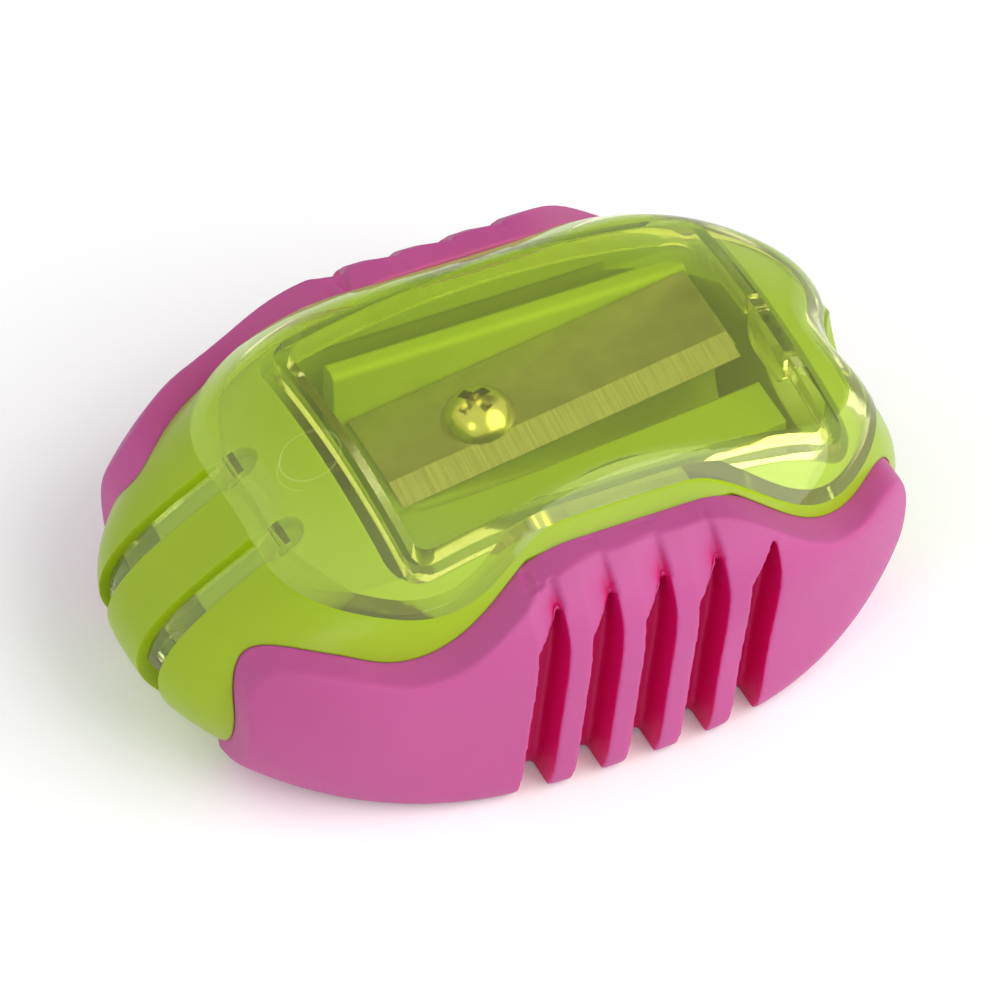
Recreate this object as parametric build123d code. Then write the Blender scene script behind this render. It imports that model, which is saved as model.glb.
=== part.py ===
from build123d import *
import math
import os

# Pocket pencil sharpener with a shavings container, a hinged see-through lid and two soft side grips.
# Millimetres. +X runs from the hinge to the pencil hole, +Y to the rear grip, +Z up from the table.

# Pebble form: rounded sections stacked along Z, each with its height, length, width and shift along X
FOOT_LENGTH = 42.2
FOOT_WIDTH = 29.8
HEEL_HEIGHT = 2.6
HEEL_LENGTH = 48.6
HEEL_WIDTH = 31.8
WAIST_HEIGHT = 8.0
WAIST_LENGTH = 52.6
WAIST_WIDTH = 32.2
SHOULDER_HEIGHT = 13.0
SHOULDER_LENGTH = 44.2
SHOULDER_WIDTH = 31.6
SHOULDER_SHIFT = 1.7
BROW_HEIGHT = 16.5
BROW_LENGTH = 37.2
BROW_WIDTH = 26.6
BROW_SHIFT = 3.3
PEAK_HEIGHT = 21.5
PEAK_LENGTH = 18.0
PEAK_WIDTH = 16.0
LOW_SHIFT = 0.08
LOW_SQUARENESS = 2.5
SHOULDER_SQUARENESS = 3.3
BROW_SQUARENESS = 3.6
SECTION_POINTS = 12

# Crown of the lid: one large sphere, blended into the sides
CROWN_RADIUS = 53.0
CROWN_TOP = 20.2
CROWN_CENTRE = 3.9
CROWN_BLEND = 3.0

# Lid shell and its wavy lower edge, seen from the side
LID_WALL = 1.1
LID_PROUD = 0.45
LID_GAP = 0.25
SEAM = 0.3
EDGE_LEFT_HEIGHT = 14.6
EDGE_RISE_X = -13.0
CREST_LEFT = -1.0
CREST_RIGHT = 7.0
EDGE_CREST_HEIGHT = 17.8
EDGE_DIP_X = 17.5
EDGE_DIP_HEIGHT = 14.0
EDGE_RIGHT_HEIGHT = 15.3

# Window frame rib under the lid, and the latch tongue in its right side
WINDOW_LEFT = -11.1
WINDOW_RIGHT = 18.9
WINDOW_WIDTH = 22.4
WINDOW_CORNER = 1.5
RIB_THICKNESS = 0.9
RIB_DEPTH = 1.5
TONGUE_WIDTH = 5.2
TONGUE_CENTRE = -1.4
TONGUE_DROP = 3.2
TONGUE_SLIT = 0.5
TONGUE_CORNER = 1.3

# Body shell: opening, container and walls
OPENING_GAP = 0.55
OPENING_LEFT_GAP = 1.1
OPENING_CORNER = 2.4
RIM_WALL = 1.1
OPENING_FLOOR = 13.2
WELL_LEFT = -19.0
WELL_RIGHT = 21.5
WELL_WIDTH = 24.6
WELL_TOP = 13.8
WELL_WALL = 1.1
POCKET_TOP = 9.5
RIM_FLOOR = 12.5

# Hinge: two arms on moulded stubs, in two slots
HINGE_X = -23.6
HINGE_HEIGHT = 6.9
ARM_SPACING = 7.1
ARM_WIDTH = 1.9
ARM_THICKNESS = 1.2
ARM_RECESS = 0.6
ARM_TOP_X = -16.4
EYE_RADIUS = 1.5
STUB_RADIUS = 0.9
STUB_LENGTH = 0.8
SLOT_CLEARANCE = 0.25
ARM_SWEEP_RADIUS = 3.7
STUB_CLEARANCE = 0.05

# Side grips
GRIP_PROUD = 0.7
GRIP_SWELL = 1.9
GRIP_FIT = 0.05
GRIP_FOOT = 0.3
GRIP_INNER = 6.5
GRIP_LEFT = -22.9
GRIP_RIGHT = 23.4
GRIP_STRIP = 0.45
LOBE_FOOT = 8.0
LOBE_LEFT_X = -17.0
LOBE_LEFT_HEIGHT = 12.25
LOBE_DIP_X = -14.3
LOBE_DIP_HEIGHT = 12.0
GRIP_DIP_X = 18.2
GRIP_DIP_HEIGHT = 12.4
LOBE_RIGHT_X = 20.4
LOBE_RIGHT_HEIGHT = 12.65
GROOVE_COUNT = 5
GROOVE_PITCH = 3.7
GROOVE_CENTRE = 3.75
GROOVE_WIDTH = 2.1
GROOVE_DEPTH = 2.6
GROOVE_TIP_HEIGHT = 15.4
GROOVE_KINK_HEIGHT = 12.9
GROOVE_LEAN = 1.2

# Base cover
BASE_THICKNESS = 2.0
BASE_RIM_HEIGHT = 1.6
BASE_RIM_WALL = 1.2
BASE_FIT = 0.08

# Pencil passage: straight hole in the end wall, then the cone that shapes the point
PENCIL_RADIUS = 4.1
PENCIL_HEIGHT = 9.8
PENCIL_HOLE_RADIUS = 4.3
HOLE_CHAMFER = 0.8
CONE_HALF_ANGLE = 9.2
CONE_TIP_RADIUS = 0.35

# Blade carrier, blade and screw
CARRIER_RIGHT = 17.2
CARRIER_HALF_WIDTH = 6.2
CARRIER_WALL = 1.4
SHELF_HEIGHT = 8.5
PLINTH_HEIGHT = 1.5
CARRIER_MARGIN = 1.2
CARRIER_FIT = 0.3
FENCE_HEIGHT = 14.3
FENCE_THICKNESS = 1.6
CHIP_STEP = 0.45
BLADE_BITE = 0.15
BLADE_LENGTH = 24.0
BLADE_WIDTH = 8.4
BLADE_THICKNESS = 0.5
BLADE_FIT = 0.1
BLADE_END_GAP = 0.2
BEVEL_WIDTH = 2.1
EDGE_THICKNESS = 0.06
SCREW_FROM_TIP = 7.3
SCREW_FROM_EDGE = 4.2
SCREW_HEAD_DIAMETER = 4.9
SCREW_HEAD_HEIGHT = 1.7
SCREW_RADIUS = 1.4
SCREW_LENGTH = 6.0
SCREW_FIT = 0.05
BLADE_HOLE_CLEARANCE = 0.15
BOSS_WALL = 1.1
SLOT_WIDTH = 0.7
SLOT_DEPTH = 0.8
SCREW_TURN = 25.0

# Lengths that only have to reach past the object
FAR = 80.0

SECTIONS = (
    (0.0, FOOT_LENGTH, FOOT_WIDTH, LOW_SHIFT, LOW_SQUARENESS),
    (HEEL_HEIGHT, HEEL_LENGTH, HEEL_WIDTH, LOW_SHIFT, LOW_SQUARENESS),
    (WAIST_HEIGHT, WAIST_LENGTH, WAIST_WIDTH, LOW_SHIFT, LOW_SQUARENESS),
    (SHOULDER_HEIGHT, SHOULDER_LENGTH, SHOULDER_WIDTH, SHOULDER_SHIFT, SHOULDER_SQUARENESS),
    (BROW_HEIGHT, BROW_LENGTH, BROW_WIDTH, BROW_SHIFT, BROW_SQUARENESS),
    (PEAK_HEIGHT, PEAK_LENGTH, PEAK_WIDTH, BROW_SHIFT, BROW_SQUARENESS),
)


def section(height, length, width, shift, squareness):
    """One closed superellipse section of the pebble."""
    points = []
    for i in range(SECTION_POINTS):
        along = math.cos(2 * math.pi * i / SECTION_POINTS)
        across = math.sin(2 * math.pi * i / SECTION_POINTS)
        stretch = (abs(along) ** squareness + abs(across) ** squareness) ** (-1 / squareness)
        points.append((shift + length / 2 * along * stretch, width / 2 * across * stretch))
    shares = [i / SECTION_POINTS for i in range(SECTION_POINTS + 1)]
    outline = Edge.make_spline([Vector(*point) for point in points], periodic=True, parameters=shares)
    return Plane.XY.offset(height) * make_face(outline)


def pebble(offset=0.0, swell=0.0):
    """The pebble form, grown or shrunk by about the offset on its sides and top, and swollen across."""
    grow_x = 1 + 2 * offset / WAIST_LENGTH
    grow_y = 1 + 2 * (offset + swell) / WAIST_WIDTH
    faces = []
    for height, length, width, shift, squareness in SECTIONS:
        rise = max(height - WAIST_HEIGHT, 0)
        lifted = height + rise * offset / (CROWN_TOP - WAIST_HEIGHT)
        faces.append(section(lifted, length * grow_x, width * grow_y, shift * grow_x, squareness))
    return loft(faces)


def crown(drop=0.0):
    """The ball whose top is the lid's crown, or lies below it by the drop."""
    centre = Pos(CROWN_CENTRE, 0, CROWN_TOP - CROWN_RADIUS)
    return centre * Rot(90, 0, 0) * Sphere(CROWN_RADIUS - drop)


def crown_height(x):
    """Height of the crown above the middle line, at a place along X."""
    return CROWN_TOP - CROWN_RADIUS + math.sqrt(CROWN_RADIUS**2 - (x - CROWN_CENTRE) ** 2)


def slab(low, high):
    """A box from its low corner to its high corner."""
    size = [b - a for a, b in zip(low, high)]
    middle = [(a + b) / 2 for a, b in zip(low, high)]
    return Pos(*middle) * Box(*size)


def side_prism(face):
    """A side-view face, drawn in X and Z, carried across the whole width."""
    return extrude(Plane.XZ * face, FAR, both=True)


def level_spline(*knots):
    """A wave through the knots that runs level at each of them."""
    return Spline(*knots, tangents=[(1, 0)] * len(knots))


def lid_region(drop=0.0):
    """Everything above the wavy lower edge of the lid, or above that edge lowered by the drop."""
    wave = level_spline(
        (EDGE_RISE_X, EDGE_LEFT_HEIGHT - drop),
        (CREST_LEFT, EDGE_CREST_HEIGHT - drop),
        (CREST_RIGHT, EDGE_CREST_HEIGHT - drop),
        (EDGE_DIP_X, EDGE_DIP_HEIGHT - drop),
        (WAIST_LENGTH / 2, EDGE_RIGHT_HEIGHT - drop),
    )
    start = wave @ 0
    end = wave @ 1
    rest = Polyline(end, (FAR, end.Y), (FAR, FAR), (-FAR, FAR), (-FAR, start.Y), start)
    return side_prism(make_face([wave, rest]))


def grip_region(foot, inset=0.0):
    """Side view of a grip: a hump under the window between a lobe at each end."""
    left = GRIP_LEFT + inset
    right = GRIP_RIGHT - inset
    crest = EDGE_CREST_HEIGHT - SEAM - GRIP_STRIP - inset
    outline = Spline(
        (left, LOBE_FOOT),
        (LOBE_LEFT_X, LOBE_LEFT_HEIGHT - inset),
        (LOBE_DIP_X, LOBE_DIP_HEIGHT - inset),
        (CREST_LEFT, crest),
        (CREST_RIGHT, crest),
        (GRIP_DIP_X, GRIP_DIP_HEIGHT - inset),
        (LOBE_RIGHT_X, LOBE_RIGHT_HEIGHT - inset),
        (right, LOBE_FOOT),
        tangents=[(0, 1)] + 6 * [(1, 0)] + [(0, -1)],
    )
    low = Polyline((right, LOBE_FOOT), (right, foot), (left, foot), (left, LOBE_FOOT))
    return side_prism(make_face([outline, low]))


def window_prism(grow, low, high, corner, left_grow=None):
    """The window outline, grown on all sides, as a vertical prism."""
    left = WINDOW_LEFT - (grow if left_grow is None else left_grow)
    right = WINDOW_RIGHT + grow
    outline = RectangleRounded(right - left, WINDOW_WIDTH + 2 * grow, corner)
    return Pos((left + right) / 2, 0, low) * extrude(outline, high - low)


def hinge_cylinder(radius, width, y):
    """A cylinder on the hinge axis, of the given width about y."""
    return Pos(HINGE_X, y, HINGE_HEIGHT) * Rot(90, 0, 0) * Cylinder(radius, width)


def arm_positions():
    return (-ARM_SPACING / 2, ARM_SPACING / 2)


def make_arm(y):
    """A strap that follows the end of the body, with an eye and two stubs on the hinge axis."""
    inside = ARM_RECESS + ARM_THICKNESS
    half = ARM_WIDTH / 2
    strap = pebble(-ARM_RECESS) - pebble(-inside)
    strap &= slab((-FAR, y - half, HINGE_HEIGHT), (ARM_TOP_X, y + half, CROWN_TOP))
    web_left = -WAIST_LENGTH / 2 + ARM_RECESS + ARM_THICKNESS / 2
    web = slab((web_left, y - half, HINGE_HEIGHT), (HINGE_X, y + half, HINGE_HEIGHT + EYE_RADIUS))
    eye = hinge_cylinder(EYE_RADIUS, ARM_WIDTH, y)
    stubs = hinge_cylinder(STUB_RADIUS, ARM_WIDTH + 2 * STUB_LENGTH, y)
    return strap + web + eye + stubs


def make_rib():
    """The frame rib round the window, open at the latch, and the rounded tongue that hangs there."""
    frame = window_prism(0, 0, CROWN_TOP, WINDOW_CORNER)
    frame -= window_prism(-RIB_THICKNESS, 0, CROWN_TOP, WINDOW_CORNER - RIB_THICKNESS / 2)
    root = crown(LID_WALL / 2)
    low = TONGUE_CENTRE - TONGUE_WIDTH / 2
    high = TONGUE_CENTRE + TONGUE_WIDTH / 2
    inner = WINDOW_RIGHT - RIB_THICKNESS
    tip = crown_height(WINDOW_RIGHT) - LID_WALL - TONGUE_DROP
    notch = slab((inner - 1, low - TONGUE_SLIT, 0), (WINDOW_RIGHT + 1, high + TONGUE_SLIT, CROWN_TOP))
    rib = (frame & (root - crown(LID_WALL + RIB_DEPTH))) - notch
    outline = Polyline((low, tip), (high, tip), (high, CROWN_TOP), (low, CROWN_TOP), close=True)
    outline = make_face(outline)
    outline = fillet(outline.vertices().group_by(Axis.Y)[0], TONGUE_CORNER)
    tongue = extrude(Plane.YZ.offset(inner) * outline, RIB_THICKNESS)
    return rib + (tongue & root)


def make_lid():
    outer = pebble(LID_PROUD) & crown()
    crease = outer.edges().filter_by(lambda edge: edge.length > WAIST_LENGTH).sort_by(Axis.Z)[-1]
    outer = fillet(crease, CROWN_BLEND) & lid_region()
    lid = outer - (pebble(LID_PROUD - LID_WALL) & crown(LID_WALL)) + make_rib()
    for y in arm_positions():
        lid += make_arm(y)
    return lid


def grip_side(side):
    """A slice of space that holds the grip on the side given by the sign of Y."""
    near = side * GRIP_INNER
    far = side * WAIST_WIDTH
    return slab((-FAR, min(near, far), -FAR), (FAR, max(near, far), FAR))


def grip_core(grow=0.0):
    """What lies behind the grips: the wall of the well and the wall round the opening."""
    rim = OPENING_GAP + RIM_WALL + grow
    wall = window_prism(rim, RIM_FLOOR, CROWN_TOP, OPENING_CORNER + RIM_WALL)
    return well(-WELL_WALL - grow, -1, CROWN_TOP) + wall


def grip_recess(side):
    """The room that one grip takes up in the body, out to past the surface."""
    return (grip_region(-FAR) & grip_side(side)) - grip_core()


def hinge_slot(y):
    """A slot for one arm: a trough along the body's end, room for the arm's swing, and the sockets."""
    width = ARM_WIDTH + 2 * SLOT_CLEARANCE
    floor = pebble(-ARM_RECESS - ARM_THICKNESS - SLOT_CLEARANCE)
    trough = slab((-FAR, y - width / 2, HINGE_HEIGHT), (ARM_TOP_X, y + width / 2, FAR))
    trough += Pos(ARM_TOP_X, y, FAR / 2) * Cylinder(width / 2, FAR)
    swing = hinge_cylinder(ARM_SWEEP_RADIUS, width, y)
    sockets = hinge_cylinder(STUB_RADIUS + STUB_CLEARANCE, width + 2 * STUB_LENGTH, y)
    return (trough - floor) + swing + sockets


def well(inset, low, high):
    """A round-ended upright prism: the shavings space, made smaller or larger by the inset."""
    outline = SlotOverall(WELL_RIGHT - WELL_LEFT - 2 * inset, WELL_WIDTH - 2 * inset)
    return Pos((WELL_LEFT + WELL_RIGHT) / 2, 0, low) * extrude(outline, high - low)


def container():
    """The shavings space: low under the hinge end, high under the lid, with the window's opening on top."""
    left = WINDOW_LEFT - OPENING_LEFT_GAP
    room = well(0, 0, WELL_TOP) & slab((left, -FAR, 0), (FAR, FAR, FAR))
    opening = window_prism(OPENING_GAP, OPENING_FLOOR, FAR, OPENING_CORNER, OPENING_LEFT_GAP)
    return well(0, 0, POCKET_TOP) + room + opening


def pencil_hole():
    """The round hole through the end wall, with a chamfered mouth."""
    inside = Pos(FAR / 2 + CARRIER_RIGHT, 0, PENCIL_HEIGHT)
    hole = inside * Rot(0, 90, 0) * Cylinder(PENCIL_HOLE_RADIUS, FAR)
    reach = FAR / 4
    flare = Cone(PENCIL_HOLE_RADIUS, PENCIL_HOLE_RADIUS + reach, reach)
    start = WAIST_LENGTH / 2 - HOLE_CHAMFER
    return hole + Pos(start + reach / 2, 0, PENCIL_HEIGHT) * Rot(0, 90, 0) * flare


def make_body_shell():
    above_base = slab((-FAR, -FAR, BASE_THICKNESS), (FAR, FAR, FAR))
    deck = pebble(LID_PROUD - LID_WALL - LID_GAP) & crown(LID_WALL + LID_GAP)
    shell = (pebble() & crown()) - lid_region(SEAM) + deck
    shell = (shell & above_base) - container() - pencil_hole()
    for y in arm_positions():
        shell -= hinge_slot(y)
    for side in (-1, 1):
        shell -= grip_recess(side)
    return shell


def make_grip(side):
    """One grip, on the side given by the sign of Y, with its row of pointed grooves."""
    region = grip_region(GRIP_FOOT, GRIP_FIT) & grip_side(side)
    grip = (pebble(GRIP_PROUD, GRIP_SWELL) & region) - grip_core(GRIP_FIT)
    grooves = Part()
    for i in range(GROOVE_COUNT):
        x = GROOVE_CENTRE + (i - (GROOVE_COUNT - 1) / 2) * GROOVE_PITCH
        outline = Polyline(
            (x, GROOVE_TIP_HEIGHT),
            (x, GROOVE_KINK_HEIGHT),
            (x - GROOVE_LEAN, 0),
            (x - GROOVE_LEAN - GROOVE_WIDTH, 0),
            (x - GROOVE_WIDTH, GROOVE_KINK_HEIGHT),
            close=True,
        )
        grooves += side_prism(make_face(outline)) & grip_side(side)
    return grip - (grooves - pebble(GRIP_PROUD, GRIP_SWELL - GROOVE_DEPTH))


def carrier_left():
    return CARRIER_RIGHT - BLADE_LENGTH * math.cos(math.radians(CONE_HALF_ANGLE)) - CARRIER_MARGIN


def carrier_rear():
    return BLADE_WIDTH + BLADE_FIT + FENCE_THICKNESS


def make_base_cover():
    floor = pebble() & slab((-FAR, -FAR, 0), (FAR, FAR, BASE_THICKNESS))
    for side in (-1, 1):
        floor -= grip_recess(side)
    top = BASE_THICKNESS + BASE_RIM_HEIGHT
    rim = well(BASE_FIT, BASE_THICKNESS, top) - well(BASE_FIT + BASE_RIM_WALL, BASE_THICKNESS, top)
    step = CARRIER_WALL + BASE_FIT
    plinth_top = BASE_THICKNESS + PLINTH_HEIGHT
    plinth_low = (carrier_left() + step, step - CARRIER_HALF_WIDTH, BASE_THICKNESS)
    plinth_high = (CARRIER_RIGHT - step, CARRIER_HALF_WIDTH - step, plinth_top)
    plinth = slab(plinth_low, plinth_high)
    hollow_low = [v + BASE_RIM_WALL for v in plinth_low[:2]] + [BASE_THICKNESS]
    hollow_high = [v - BASE_RIM_WALL for v in plinth_high[:2]] + [plinth_top]
    return floor + rim + (plinth - slab(hollow_low, hollow_high))


def blade_plane():
    """The plane the blade lies on: along the top of the cone, sunk a little into it. Origin at the mouth."""
    tilt = math.radians(CONE_HALF_ANGLE)
    height = PENCIL_HEIGHT + PENCIL_RADIUS - BLADE_BITE
    x_dir = (math.cos(tilt), 0, math.sin(tilt))
    return Plane((CARRIER_RIGHT, 0, height), x_dir=x_dir, z_dir=(-math.sin(tilt), 0, math.cos(tilt)))


def pencil_cone(grow=0.0):
    """The cone that the pencil turns in, or a sleeve round it."""
    length = (PENCIL_RADIUS - CONE_TIP_RADIUS) / math.tan(math.radians(CONE_HALF_ANGLE))
    cone = Cone(CONE_TIP_RADIUS + grow, PENCIL_RADIUS + grow, length)
    return Pos(CARRIER_RIGHT - length / 2, 0, PENCIL_HEIGHT) * Rot(0, 90, 0) * cone


def screw_place():
    """Where the screw's axis crosses the blade's seat."""
    along = BLADE_END_GAP + BLADE_LENGTH - SCREW_FROM_TIP
    return blade_plane() * Pos(-along, SCREW_FROM_EDGE, 0)


def make_blade():
    profile = Polyline(
        (0, 0),
        (BLADE_WIDTH, 0),
        (BLADE_WIDTH, BLADE_THICKNESS),
        (BEVEL_WIDTH, BLADE_THICKNESS),
        (0, EDGE_THICKNESS),
        close=True,
    )
    strip = extrude(Plane.YZ * make_face(profile), BLADE_LENGTH)
    blade = blade_plane() * Pos(-BLADE_END_GAP - BLADE_LENGTH, 0, 0) * strip
    return blade - screw_place() * Cylinder(SCREW_RADIUS + BLADE_HOLE_CLEARANCE, FAR / 4)


def make_blade_screw():
    """A domed head with a cross recess, on a plain shank."""
    radius = SCREW_HEAD_DIAMETER / 2
    dome = (radius**2 + SCREW_HEAD_HEIGHT**2) / (2 * SCREW_HEAD_HEIGHT)
    head = Pos(0, 0, SCREW_HEAD_HEIGHT - dome) * Sphere(dome)
    head &= Pos(0, 0, SCREW_HEAD_HEIGHT / 2) * Cylinder(radius, SCREW_HEAD_HEIGHT)
    for turn in (0, 90):
        bar = Box(radius, SLOT_WIDTH, SLOT_DEPTH)
        head -= Pos(0, 0, SCREW_HEAD_HEIGHT - SLOT_DEPTH / 2) * Rot(0, 0, SCREW_TURN + turn) * bar
    shank = Pos(0, 0, -SCREW_LENGTH / 2) * Cylinder(SCREW_RADIUS, SCREW_LENGTH)
    return screw_place() * Pos(0, 0, BLADE_THICKNESS) * (head + shank)


def make_blade_carrier():
    """A hollow moulded block with the cone in it, a seat for the blade and a fence behind it."""
    left = carrier_left()
    rear = carrier_rear()
    half = CARRIER_HALF_WIDTH
    plane = blade_plane()
    above_seat = plane * slab((-FAR, -FAR, 0), (FAR, FAR, FAR))
    above_front = plane * slab((-FAR, -FAR, -CHIP_STEP), (FAR, 0, FAR))
    block = slab((left, -half, BASE_THICKNESS), (CARRIER_RIGHT, half, FAR / 2))
    block += slab((left, 0, SHELF_HEIGHT), (CARRIER_RIGHT, rear, FAR / 2))
    block &= well(CARRIER_FIT, 0, FAR / 2)
    block -= above_seat + above_front
    wall = CARRIER_WALL
    hollow = slab((left + wall, wall - half, 0), (CARRIER_RIGHT - wall, half - wall, FAR / 2))
    hollow -= plane * slab((-FAR, -FAR, -CHIP_STEP - wall), (FAR, FAR, FAR))
    block -= hollow
    fence = slab((left, rear - FENCE_THICKNESS, SHELF_HEIGHT), (CARRIER_RIGHT, rear, FENCE_HEIGHT))
    fence = fillet(fence.edges().filter_by(Axis.X).group_by(Axis.Z)[-1], FENCE_THICKNESS / 3)
    block += fence & well(CARRIER_FIT, 0, FAR / 2)
    boss_depth = SCREW_LENGTH + BOSS_WALL
    boss = screw_place() * Pos(0, 0, -boss_depth / 2) * Cylinder(SCREW_RADIUS + BOSS_WALL, boss_depth)
    sleeve = pencil_cone(wall) - above_seat - above_front
    block += (boss - above_seat) + sleeve
    block -= pencil_cone()
    hole_depth = SCREW_LENGTH - BLADE_THICKNESS + SCREW_FIT
    hole = Pos(0, 0, -hole_depth / 2) * Cylinder(SCREW_RADIUS + SCREW_FIT, hole_depth)
    return block - screw_place() * hole


def main():
    os.makedirs("parts", exist_ok=True)
    nodes = {
        "body_shell": make_body_shell(),
        "base_cover": make_base_cover(),
        "lid": make_lid(),
        "grip_front": make_grip(-1),
        "grip_rear": make_grip(1),
        "blade_carrier": make_blade_carrier(),
        "blade": make_blade(),
        "blade_screw": make_blade_screw(),
    }
    for name, shape in nodes.items():
        export_step(shape, f"parts/{name}.step")


main()
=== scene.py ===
import bpy
import math
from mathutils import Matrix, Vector


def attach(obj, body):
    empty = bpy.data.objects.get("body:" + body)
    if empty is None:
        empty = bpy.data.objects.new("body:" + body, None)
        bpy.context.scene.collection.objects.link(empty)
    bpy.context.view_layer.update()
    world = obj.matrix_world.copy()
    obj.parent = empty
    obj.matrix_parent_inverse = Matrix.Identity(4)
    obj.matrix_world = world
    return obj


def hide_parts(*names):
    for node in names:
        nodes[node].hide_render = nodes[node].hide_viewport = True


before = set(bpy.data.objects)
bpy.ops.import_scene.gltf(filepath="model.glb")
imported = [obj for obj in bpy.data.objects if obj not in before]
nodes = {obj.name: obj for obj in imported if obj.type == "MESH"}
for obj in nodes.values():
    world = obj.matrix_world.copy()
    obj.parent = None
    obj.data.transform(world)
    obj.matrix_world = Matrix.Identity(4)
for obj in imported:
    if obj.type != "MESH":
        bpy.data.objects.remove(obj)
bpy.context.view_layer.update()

# Lengths are in metres, in the row frame
MM = 0.001

# Camera
VIEW_AZIMUTH = math.radians(-24.84)
VIEW_ELEVATION = math.radians(43.44)
LOOK_AT = Vector((0.36, 0.73, 7.43)) * MM
CAMERA_DISTANCE = 607 * MM
CAMERA_NEAR = 10 * MM
SENSOR = 36.0
LENS = 339.6

# Light: white surroundings with a dim zone behind and above,
# a large key at the right and a small fill at the left
WORLD_LIGHT = 0.74
DIM_LIGHT = 0.08
DIM_DIRECTION = (0.305, 0.659, 0.688)
DIM_EDGE = 0.74
DIM_CORE = 0.94
KEY_PLACE = (0.36, -0.4, 0.44)
KEY_SIZE = 0.7
KEY_POWER = 3.2
FILL_PLACE = (-0.42, -0.3, 0.42)
FILL_SIZE = 0.16
FILL_POWER = 0.3

# Floor: half its width, and how much brighter it is shown than it is lit
FLOOR_HALF = 3.0
FLOOR_ROUGHNESS = 0.9
FLOOR_LIFT = 0.12

# Rays that show the surroundings as they look, also in metal and glass
SHOWN_RAYS = ("Is Camera Ray", "Is Glossy Ray", "Is Transmission Ray")

# Soft grips: rounding of all edges, then more of it at the two plain ends
GRIP_VOXEL = 0.13 * MM
GRIP_SMOOTHING = 9
GRIP_THINNING = 0.22
SMOOTHING_FACTOR = 0.5
RIM_SMOOTHING = 30
RIM_LEFT = -9.0 * MM
RIM_RIGHT = 13.5 * MM
RIM_FADE = 2.5 * MM
RIM_STEPS = 5

# Soft grips: the grooves, and the ramps that lead into them
GROOVE_COUNT = 5
GROOVE_CENTRE = 3.75 * MM
GROOVE_PITCH = 3.7 * MM
GROOVE_WIDTH = 2.1 * MM
GROOVE_TIP_HEIGHT = 15.4 * MM
GROOVE_KINK_HEIGHT = 12.9 * MM
RAMP_COUNT = 4
RAMP_DEPTH = 0.9 * MM
RAMP_TOP = 17.4 * MM
RAMP_LAP = 0.4 * MM
RAMP_FALL = 0.8

# Colours, linear
LIME = (0.36, 0.50, 0.014)
LIME_DEEP = (0.32, 0.455, 0.011)
CLEAR_LIME = (0.96, 1.0, 0.38)
CLEAR_LIME_PALE = (0.97, 1.0, 0.47)
MAGENTA = (0.55, 0.10, 0.31)
MAGENTA_DEEP = (0.46, 0.072, 0.25)
# painted shade: the crimson painted into the grips' grooves, standing in for shade and light
# bounced there
PAINTED_SHADE_CRIMSON = (0.62, 0.0, 0.13)
STEEL = (0.54, 0.54, 0.52)
STEEL_DARK = (0.42, 0.42, 0.40)
BEVEL_STEEL = (0.68, 0.68, 0.66)
BEVEL_STEEL_DARK = (0.52, 0.52, 0.50)
BRASS = (0.60, 0.56, 0.44)
# painted shade: the near-black painted inside the screw's cross
BRASS_PAINTED_SHADE = (0.10, 0.085, 0.04)
WARM_BRASS = (0.70, 0.65, 0.50)
WHITE = (1.0, 1.0, 1.0)
FLOOR_WHITE = (0.98, 0.98, 0.98)

# In the materials below, clouds, grain, specks and marks are noise features per metre,
# roughness is a range, and relief is a depth and a strength

# Lime plastic
PLASTIC_CLOUDS = 120
PLASTIC_GRAIN = 900
PLASTIC_RELIEF = (0.05 * MM, 0.12)
PLASTIC_ROUGHNESS = (0.26, 0.34)
PLASTIC_SPECULAR = 0.3
PLASTIC_DEPTH = 1.2 * MM
PLASTIC_DEPTH_WEIGHT = 0.25
PLASTIC_DEPTH_COLOUR = (1.0, 1.0, 0.3)
EDGE_SOFTNESS = 0.15 * MM
EDGE_SAMPLES = 4

# Clear plastic, and the mark of an ejector pin on the lid's outer face
CLEAR_CLOUDS = 90
CLEAR_ROUGHNESS = (0.02, 0.06)
CLEAR_IOR = 1.46
CLEAR_TRANSMISSION = 0.94
PIN_MARK_TRANSMISSION = 0.8
PIN_MARK_X = -13.2 * MM
PIN_MARK_RADIUS = 1.95 * MM
PIN_MARK_WIDTH = 0.12 * MM
PIN_MARK_SLOPE = (-0.56, 0.0, 1.0)
PIN_MARK_LEVEL = 23.74 * MM

# Soft rubber; the grooves get painted shade, a deep crimson, over a range of openness from deep
# to open
RUBBER_CLOUDS = 110
RUBBER_GRAIN = 2600
RUBBER_RELIEF = (0.04 * MM, 0.15)
RUBBER_ROUGHNESS = (0.42, 0.55)
RUBBER_SPECULAR = 0.3
RUBBER_DEPTH = 0.8 * MM
RUBBER_DEPTH_WEIGHT = 0.3
RUBBER_DEPTH_COLOUR = (1.0, 0.2, 0.5)
GROOVE_PAINTED_SHADE_REACH = 4.0 * MM
GROOVE_PAINTED_SHADE = (0.62, 0.92)

# Blade steel; the bevel is what leans towards -Y by more than its facing
STEEL_SPECKS = 700
STEEL_RELIEF = (0.03 * MM, 0.12)
STEEL_ROUGHNESS = (0.34, 0.5)
GRINDING_MARKS = 1400
GRINDING_STRETCH = (6, 0.1, 0.1)
GRINDING_CONTRAST = (0.36, 0.64)
BEVEL_FACING = -0.1

# Screw; the painted shade inside its cross is a range of openness as in the grooves
SCREW_CLOUDS = 800
SCREW_GRAIN = 1500
SCREW_ROUGHNESS = (0.14, 0.26)
CROSS_PAINTED_SHADE_REACH = 0.7 * MM
CROSS_PAINTED_SHADE = (0.35, 0.8)


def rgba(colour):
    return (*colour, 1.0)


def new_material(name):
    """A node material, its node tree and its main shader."""
    material = bpy.data.materials.new(name)
    material.use_nodes = True
    tree = material.node_tree
    return material, tree, tree.nodes["Principled BSDF"]


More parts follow.
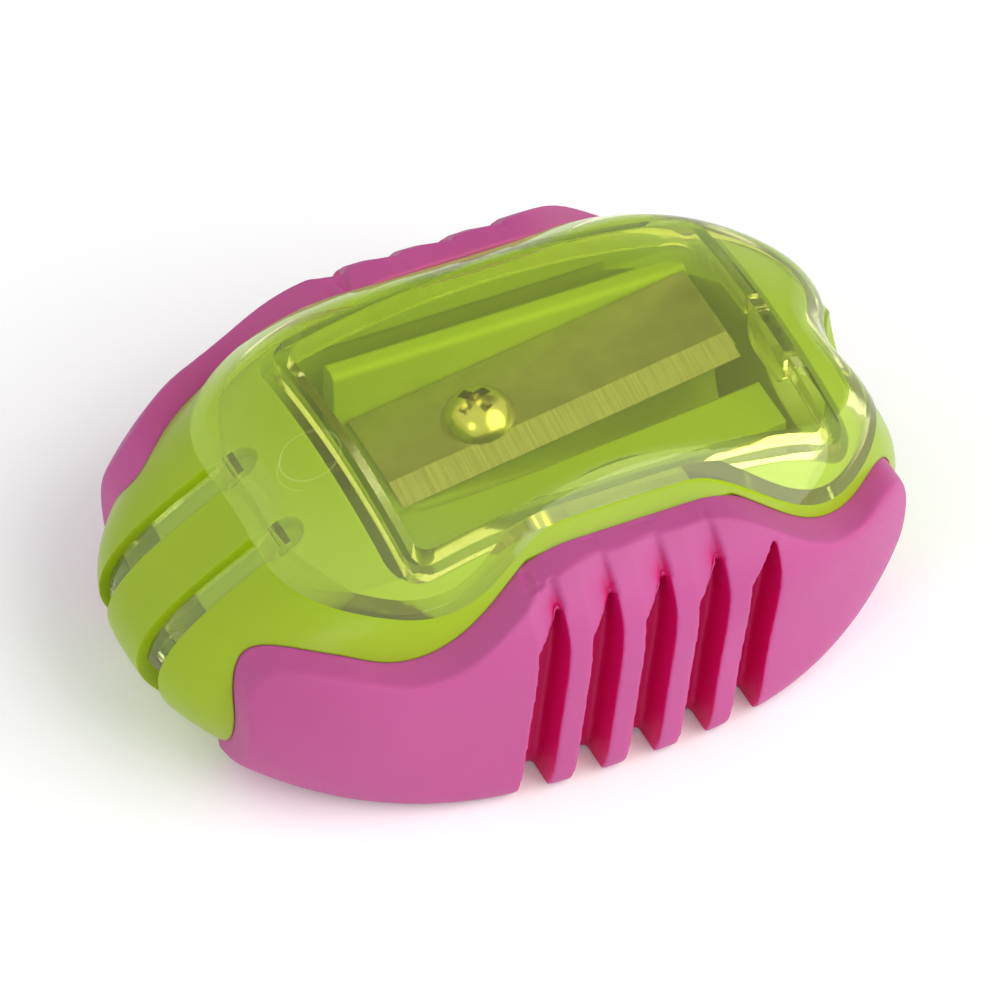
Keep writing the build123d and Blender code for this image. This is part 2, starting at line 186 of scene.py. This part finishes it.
def feed(tree, socket, value):
    """A socket gets a plain value, or what another node puts out."""
    if isinstance(value, bpy.types.NodeSocket):
        tree.links.new(value, socket)
    elif socket.type == "RGBA":
        socket.default_value = rgba(value)
    else:
        socket.default_value = value


def dress(tree, node, values):
    """A node's inputs, by name."""
    for name, value in values.items():
        feed(tree, node.inputs[name], value)


def noise(tree, scale, stretch=(1, 1, 1), detail=3.0):
    """Noise in the row frame, with features per metre, stretched along the axes."""
    place = tree.nodes.new("ShaderNodeTexCoord")
    mapping = tree.nodes.new("ShaderNodeMapping")
    texture = tree.nodes.new("ShaderNodeTexNoise")
    dress(tree, mapping, {"Vector": place.outputs["Object"], "Scale": stretch})
    dress(tree, texture, {
        "Vector": mapping.outputs["Vector"],
        "Scale": scale,
        "Detail": detail,
    })
    return texture.outputs["Fac"]


def calculate(tree, operation, *values):
    """One step of arithmetic on factors."""
    node = tree.nodes.new("ShaderNodeMath")
    node.operation = operation
    for socket, value in zip(node.inputs, values):
        feed(tree, socket, value)
    return node.outputs["Value"]


def reach_along(tree, vector, direction):
    """How far a vector reaches in a direction."""
    node = tree.nodes.new("ShaderNodeVectorMath")
    node.operation = "DOT_PRODUCT"
    tree.links.new(vector, node.inputs[0])
    node.inputs[1].default_value = direction
    return node.outputs["Value"]


def blend(tree, factor, low, high):
    """Two colours mixed by a factor."""
    mix = tree.nodes.new("ShaderNodeMix")
    mix.data_type = "RGBA"
    dress(tree, mix, {"Factor": factor, "A": low, "B": high})
    return mix.outputs["Result"]


def spread(tree, factor, low, high, start=0.0, end=1.0, smooth=False):
    """A factor from start to end carried to the range from low to high."""
    ramp = tree.nodes.new("ShaderNodeMapRange")
    if smooth:
        ramp.interpolation_type = "SMOOTHSTEP"
    dress(tree, ramp, {
        "Value": factor,
        "From Min": start,
        "From Max": end,
        "To Min": low,
        "To Max": high,
    })
    return ramp.outputs["Result"]


def bump(tree, shader, height, distance, strength):
    """Fine relief on a shader."""
    node = tree.nodes.new("ShaderNodeBump")
    dress(tree, node, {"Distance": distance, "Strength": strength, "Height": height})
    tree.links.new(node.outputs["Normal"], shader.inputs["Normal"])
    return node


def any_ray(tree, first, *others):
    """1 for rays of any of these kinds, 0 for the rest."""
    path = tree.nodes.new("ShaderNodeLightPath")
    found = path.outputs[first]
    for kind in others:
        found = calculate(tree, "MAXIMUM", found, path.outputs[kind])
    return found


def hollow_shade_mask(tree, reach, deep, open_face):
    """0 deep inside the piece's own hollows, 1 on its open faces: the mask for painted shade in
    hollows.
    """
    hollow = tree.nodes.new("ShaderNodeAmbientOcclusion")
    hollow.only_local = True
    hollow.inputs["Distance"].default_value = reach
    return spread(tree, hollow.outputs["AO"], 0.0, 1.0, deep, open_face, smooth=True)


def pin_mark(tree):
    """1 on a thin ring on the lid's outer face, round a place on its middle line, 0 elsewhere."""
    place = tree.nodes.new("ShaderNodeTexCoord").outputs["Object"]
    shift = tree.nodes.new("ShaderNodeMapping")
    dress(tree, shift, {"Vector": place, "Location": (-PIN_MARK_X, 0, 0), "Scale": (1, 1, 0)})
    length = tree.nodes.new("ShaderNodeVectorMath")
    length.operation = "LENGTH"
    tree.links.new(shift.outputs["Vector"], length.inputs[0])
    away = length.outputs["Value"]
    ring = calculate(tree, "COMPARE", away, PIN_MARK_RADIUS, PIN_MARK_WIDTH / 2)
    level = reach_along(tree, place, PIN_MARK_SLOPE)
    outer = calculate(tree, "GREATER_THAN", level, PIN_MARK_LEVEL)
    return calculate(tree, "MULTIPLY", ring, outer)


def moulded_plastic(name):
    """Glossy solid plastic that lets a little light in, with softened edges."""
    material, tree, shader = new_material(name)
    clouds = noise(tree, PLASTIC_CLOUDS)
    dress(tree, shader, {
        "Base Color": blend(tree, clouds, LIME_DEEP, LIME),
        "Roughness": spread(tree, clouds, *PLASTIC_ROUGHNESS),
        "Specular IOR Level": PLASTIC_SPECULAR,
        "Subsurface Weight": PLASTIC_DEPTH_WEIGHT,
        "Subsurface Scale": PLASTIC_DEPTH,
        "Subsurface Radius": PLASTIC_DEPTH_COLOUR,
    })
    edges = tree.nodes.new("ShaderNodeBevel")
    edges.samples = EDGE_SAMPLES
    edges.inputs["Radius"].default_value = EDGE_SOFTNESS
    relief = bump(tree, shader, noise(tree, PLASTIC_GRAIN), *PLASTIC_RELIEF)
    tree.links.new(edges.outputs["Normal"], relief.inputs["Normal"])
    return material


def clear_plastic(name):
    """See-through tinted plastic, a little milky.

    Shadow and diffuse rays pass straight through, tinted.
    """
    material, tree, shader = new_material(name)
    clouds = noise(tree, CLEAR_CLOUDS)
    tint = blend(tree, clouds, CLEAR_LIME, CLEAR_LIME_PALE)
    clearness = spread(tree, pin_mark(tree), CLEAR_TRANSMISSION, PIN_MARK_TRANSMISSION)
    dress(tree, shader, {
        "Base Color": tint,
        "Transmission Weight": clearness,
        "IOR": CLEAR_IOR,
        "Roughness": spread(tree, clouds, *CLEAR_ROUGHNESS),
    })
    through = tree.nodes.new("ShaderNodeBsdfTransparent")
    tree.links.new(tint, through.inputs["Color"])
    mix = tree.nodes.new("ShaderNodeMixShader")
    tree.links.new(any_ray(tree, "Is Shadow Ray", "Is Diffuse Ray"), mix.inputs["Fac"])
    tree.links.new(shader.outputs["BSDF"], mix.inputs[1])
    tree.links.new(through.outputs["BSDF"], mix.inputs[2])
    tree.links.new(mix.outputs["Shader"], tree.nodes["Material Output"].inputs["Surface"])
    return material


def soft_rubber(name):
    """Matt soft-touch elastomer, with painted shade in deep crimson inside its grooves."""
    material, tree, shader = new_material(name)
    face = blend(tree, noise(tree, RUBBER_CLOUDS), MAGENTA_DEEP, MAGENTA)
    # painted shade: crimson painted into the grooves according to how closed in they are
    painted_shade = hollow_shade_mask(tree, GROOVE_PAINTED_SHADE_REACH, *GROOVE_PAINTED_SHADE)
    grain = noise(tree, RUBBER_GRAIN, detail=4.0)
    dress(tree, shader, {
        "Base Color": blend(tree, painted_shade, PAINTED_SHADE_CRIMSON, face),
        "Roughness": spread(tree, grain, *RUBBER_ROUGHNESS),
        "Specular IOR Level": RUBBER_SPECULAR,
        "Subsurface Weight": RUBBER_DEPTH_WEIGHT,
        "Subsurface Scale": RUBBER_DEPTH,
        "Subsurface Radius": RUBBER_DEPTH_COLOUR,
    })
    bump(tree, shader, grain, *RUBBER_RELIEF)
    return material


def ground_steel(name):
    """Blade steel: a dull flat with specks, and a brighter bevel with marks across its edge."""
    material, tree, shader = new_material(name)
    specks = noise(tree, STEEL_SPECKS, detail=6.0)
    grinding = noise(tree, GRINDING_MARKS, GRINDING_STRETCH, detail=5.0)
    marks = spread(tree, grinding, 0.0, 1.0, *GRINDING_CONTRAST)
    facing = tree.nodes.new("ShaderNodeNewGeometry")
    split = tree.nodes.new("ShaderNodeSeparateXYZ")
    tree.links.new(facing.outputs["True Normal"], split.inputs["Vector"])
    bevel = calculate(tree, "LESS_THAN", split.outputs["Y"], BEVEL_FACING)
    flat_colour = blend(tree, specks, STEEL_DARK, STEEL)
    bevel_colour = blend(tree, marks, BEVEL_STEEL_DARK, BEVEL_STEEL)
    dress(tree, shader, {
        "Base Color": blend(tree, bevel, flat_colour, bevel_colour),
        "Metallic": 1.0,
        "Roughness": spread(tree, specks, *STEEL_ROUGHNESS),
    })
    bump(tree, shader, specks, *STEEL_RELIEF)
    return material


def bright_screw(name):
    """Bright yellowish screw, with painted shade darkening the inside of its cross."""
    material, tree, shader = new_material(name)
    face = blend(tree, noise(tree, SCREW_CLOUDS), BRASS, WARM_BRASS)
    # painted shade: the cross is darkened according to how closed in it is
    painted_shade = hollow_shade_mask(tree, CROSS_PAINTED_SHADE_REACH, *CROSS_PAINTED_SHADE)
    dress(tree, shader, {
        "Base Color": blend(tree, painted_shade, BRASS_PAINTED_SHADE, face),
        "Metallic": 1.0,
        "Roughness": spread(tree, noise(tree, SCREW_GRAIN), *SCREW_ROUGHNESS),
    })
    return material


def paint(piece, material):
    piece.data.materials.clear()
    piece.data.materials.append(material)


def ramp_depth(x, z):
    """How far the surface above a groove falls towards the groove's pointed tip."""
    for i in range(RAMP_COUNT):
        tip = GROOVE_CENTRE + (i - (GROOVE_COUNT - 1) / 2) * GROOVE_PITCH
        along = (x - tip) / GROOVE_WIDTH + 1
        edge = GROOVE_KINK_HEIGHT + along * (GROOVE_TIP_HEIGHT - GROOVE_KINK_HEIGHT)
        if 0 < along < 1 and edge - RAMP_LAP < z < RAMP_TOP:
            return RAMP_DEPTH * along * min(1, (RAMP_TOP - z) / (RAMP_TOP - GROOVE_TIP_HEIGHT))
    return 0.0


def settle(piece):
    """The modifiers' result becomes the piece's own mesh."""
    bpy.context.view_layer.update()
    evaluated = piece.evaluated_get(bpy.context.evaluated_depsgraph_get())
    mesh = bpy.data.meshes.new_from_object(evaluated)
    piece.modifiers.clear()
    piece.data = mesh


def add_smoothing(piece, name, iterations):
    smooth = piece.modifiers.new(name, "SMOOTH")
    smooth.iterations = iterations
    smooth.factor = SMOOTHING_FACTOR
    return smooth


def round_off_ends(piece):
    """More rounding on the grip's two plain ends, none between its grooves."""
    ends = piece.vertex_groups.new(name="ends")
    steps = [[] for _ in range(RIM_STEPS + 1)]
    for vertex in piece.data.vertices:
        beyond = max(RIM_LEFT - vertex.co.x, vertex.co.x - RIM_RIGHT) / RIM_FADE
        steps[round(RIM_STEPS * min(1, max(0, beyond)))].append(vertex.index)
    for step, indices in enumerate(steps):
        ends.add(indices, step / RIM_STEPS, "REPLACE")
    add_smoothing(piece, "ends", RIM_SMOOTHING).vertex_group = ends.name


def rounded_copy(name):
    """A copy of a CAD node with its edges rounded off, which stands for the node."""
    mesh = nodes[name].data.copy()
    piece = bpy.data.objects.new(name + "_soft", mesh)
    bpy.context.scene.collection.objects.link(piece)
    remesh = piece.modifiers.new("remesh", "REMESH")
    remesh.mode = "VOXEL"
    remesh.voxel_size = GRIP_VOXEL
    settle(piece)
    side = math.copysign(1, sum(v.co.y for v in piece.data.vertices))
    fall = Vector((0, -side, -RAMP_FALL)).normalized()
    outside = [v.index for v in piece.data.vertices if v.normal.y * side > 0]
    for index in outside:
        place = piece.data.vertices[index].co
        piece.data.vertices[index].co = place + ramp_depth(place.x, place.z) * fall
    add_smoothing(piece, "smooth", GRIP_SMOOTHING)
    round_off_ends(piece)
    thin = piece.modifiers.new("thin", "DECIMATE")
    thin.ratio = GRIP_THINNING
    settle(piece)
    piece.data.shade_smooth()
    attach(piece, "body")
    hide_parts(name)
    return piece


def area_light(name, place, aim, size, power):
    data = bpy.data.lights.new(name, "AREA")
    data.shape = "DISK"
    data.size = size
    data.energy = power
    light = bpy.data.objects.new(name, data)
    bpy.context.scene.collection.objects.link(light)
    light.location = place
    light.rotation_euler = (Vector(aim) - Vector(place)).to_track_quat("-Z", "Y").to_euler()


# The part
lime = moulded_plastic("lime_plastic")
for green in ("body_shell", "base_cover", "blade_carrier"):
    paint(nodes[green], lime)
paint(nodes["lid"], clear_plastic("clear_lime_plastic"))
paint(nodes["blade"], ground_steel("ground_steel"))
paint(nodes["blade_screw"], bright_screw("screw_steel"))
rubber = soft_rubber("soft_magenta")
for grip in ("grip_front", "grip_rear"):
    paint(rounded_copy(grip), rubber)

# Stage: white floor, white surroundings with a dim zone, key and fill
corners = [(x * FLOOR_HALF, y * FLOOR_HALF, 0) for x, y in ((-1, -1), (1, -1), (1, 1), (-1, 1))]
floor_mesh = bpy.data.meshes.new("floor")
floor_mesh.from_pydata(corners, [], [(0, 1, 2, 3)])
floor = bpy.data.objects.new("floor", floor_mesh)
bpy.context.scene.collection.objects.link(floor)
floor_material, floor_tree, floor_shader = new_material("floor_white")
dress(floor_tree, floor_shader, {
    "Base Color": FLOOR_WHITE,
    "Roughness": FLOOR_ROUGHNESS,
    "Emission Color": WHITE,
    "Emission Strength": spread(floor_tree, any_ray(floor_tree, *SHOWN_RAYS), 0.0, FLOOR_LIFT),
})
paint(floor, floor_material)

world = bpy.data.worlds.new("white_room")
world.use_nodes = True
world_tree = world.node_tree
bright = spread(world_tree, any_ray(world_tree, *SHOWN_RAYS), WORLD_LIGHT, 1.0)
direction = world_tree.nodes.new("ShaderNodeTexCoord").outputs["Generated"]
towards = reach_along(world_tree, direction, DIM_DIRECTION)
dress(world_tree, world_tree.nodes["Background"], {
    "Color": WHITE,
    "Strength": spread(world_tree, towards, bright, DIM_LIGHT, DIM_EDGE, DIM_CORE, smooth=True),
})
bpy.context.scene.world = world

area_light("key", KEY_PLACE, LOOK_AT, KEY_SIZE, KEY_POWER)
area_light("fill", FILL_PLACE, LOOK_AT, FILL_SIZE, FILL_POWER)

camera_data = bpy.data.cameras.new("camera")
camera_data.sensor_width = SENSOR
camera_data.lens = LENS
camera_data.clip_start = CAMERA_NEAR
camera = bpy.data.objects.new("camera", camera_data)
bpy.context.scene.collection.objects.link(camera)
back = Vector((
    math.sin(VIEW_AZIMUTH) * math.cos(VIEW_ELEVATION),
    -math.cos(VIEW_AZIMUTH) * math.cos(VIEW_ELEVATION),
    math.sin(VIEW_ELEVATION),
))
camera.location = LOOK_AT + CAMERA_DISTANCE * back
camera.rotation_euler = back.to_track_quat("Z", "Y").to_euler()
bpy.context.scene.camera = camera

bpy.context.scene.view_settings.view_transform = "Standard"
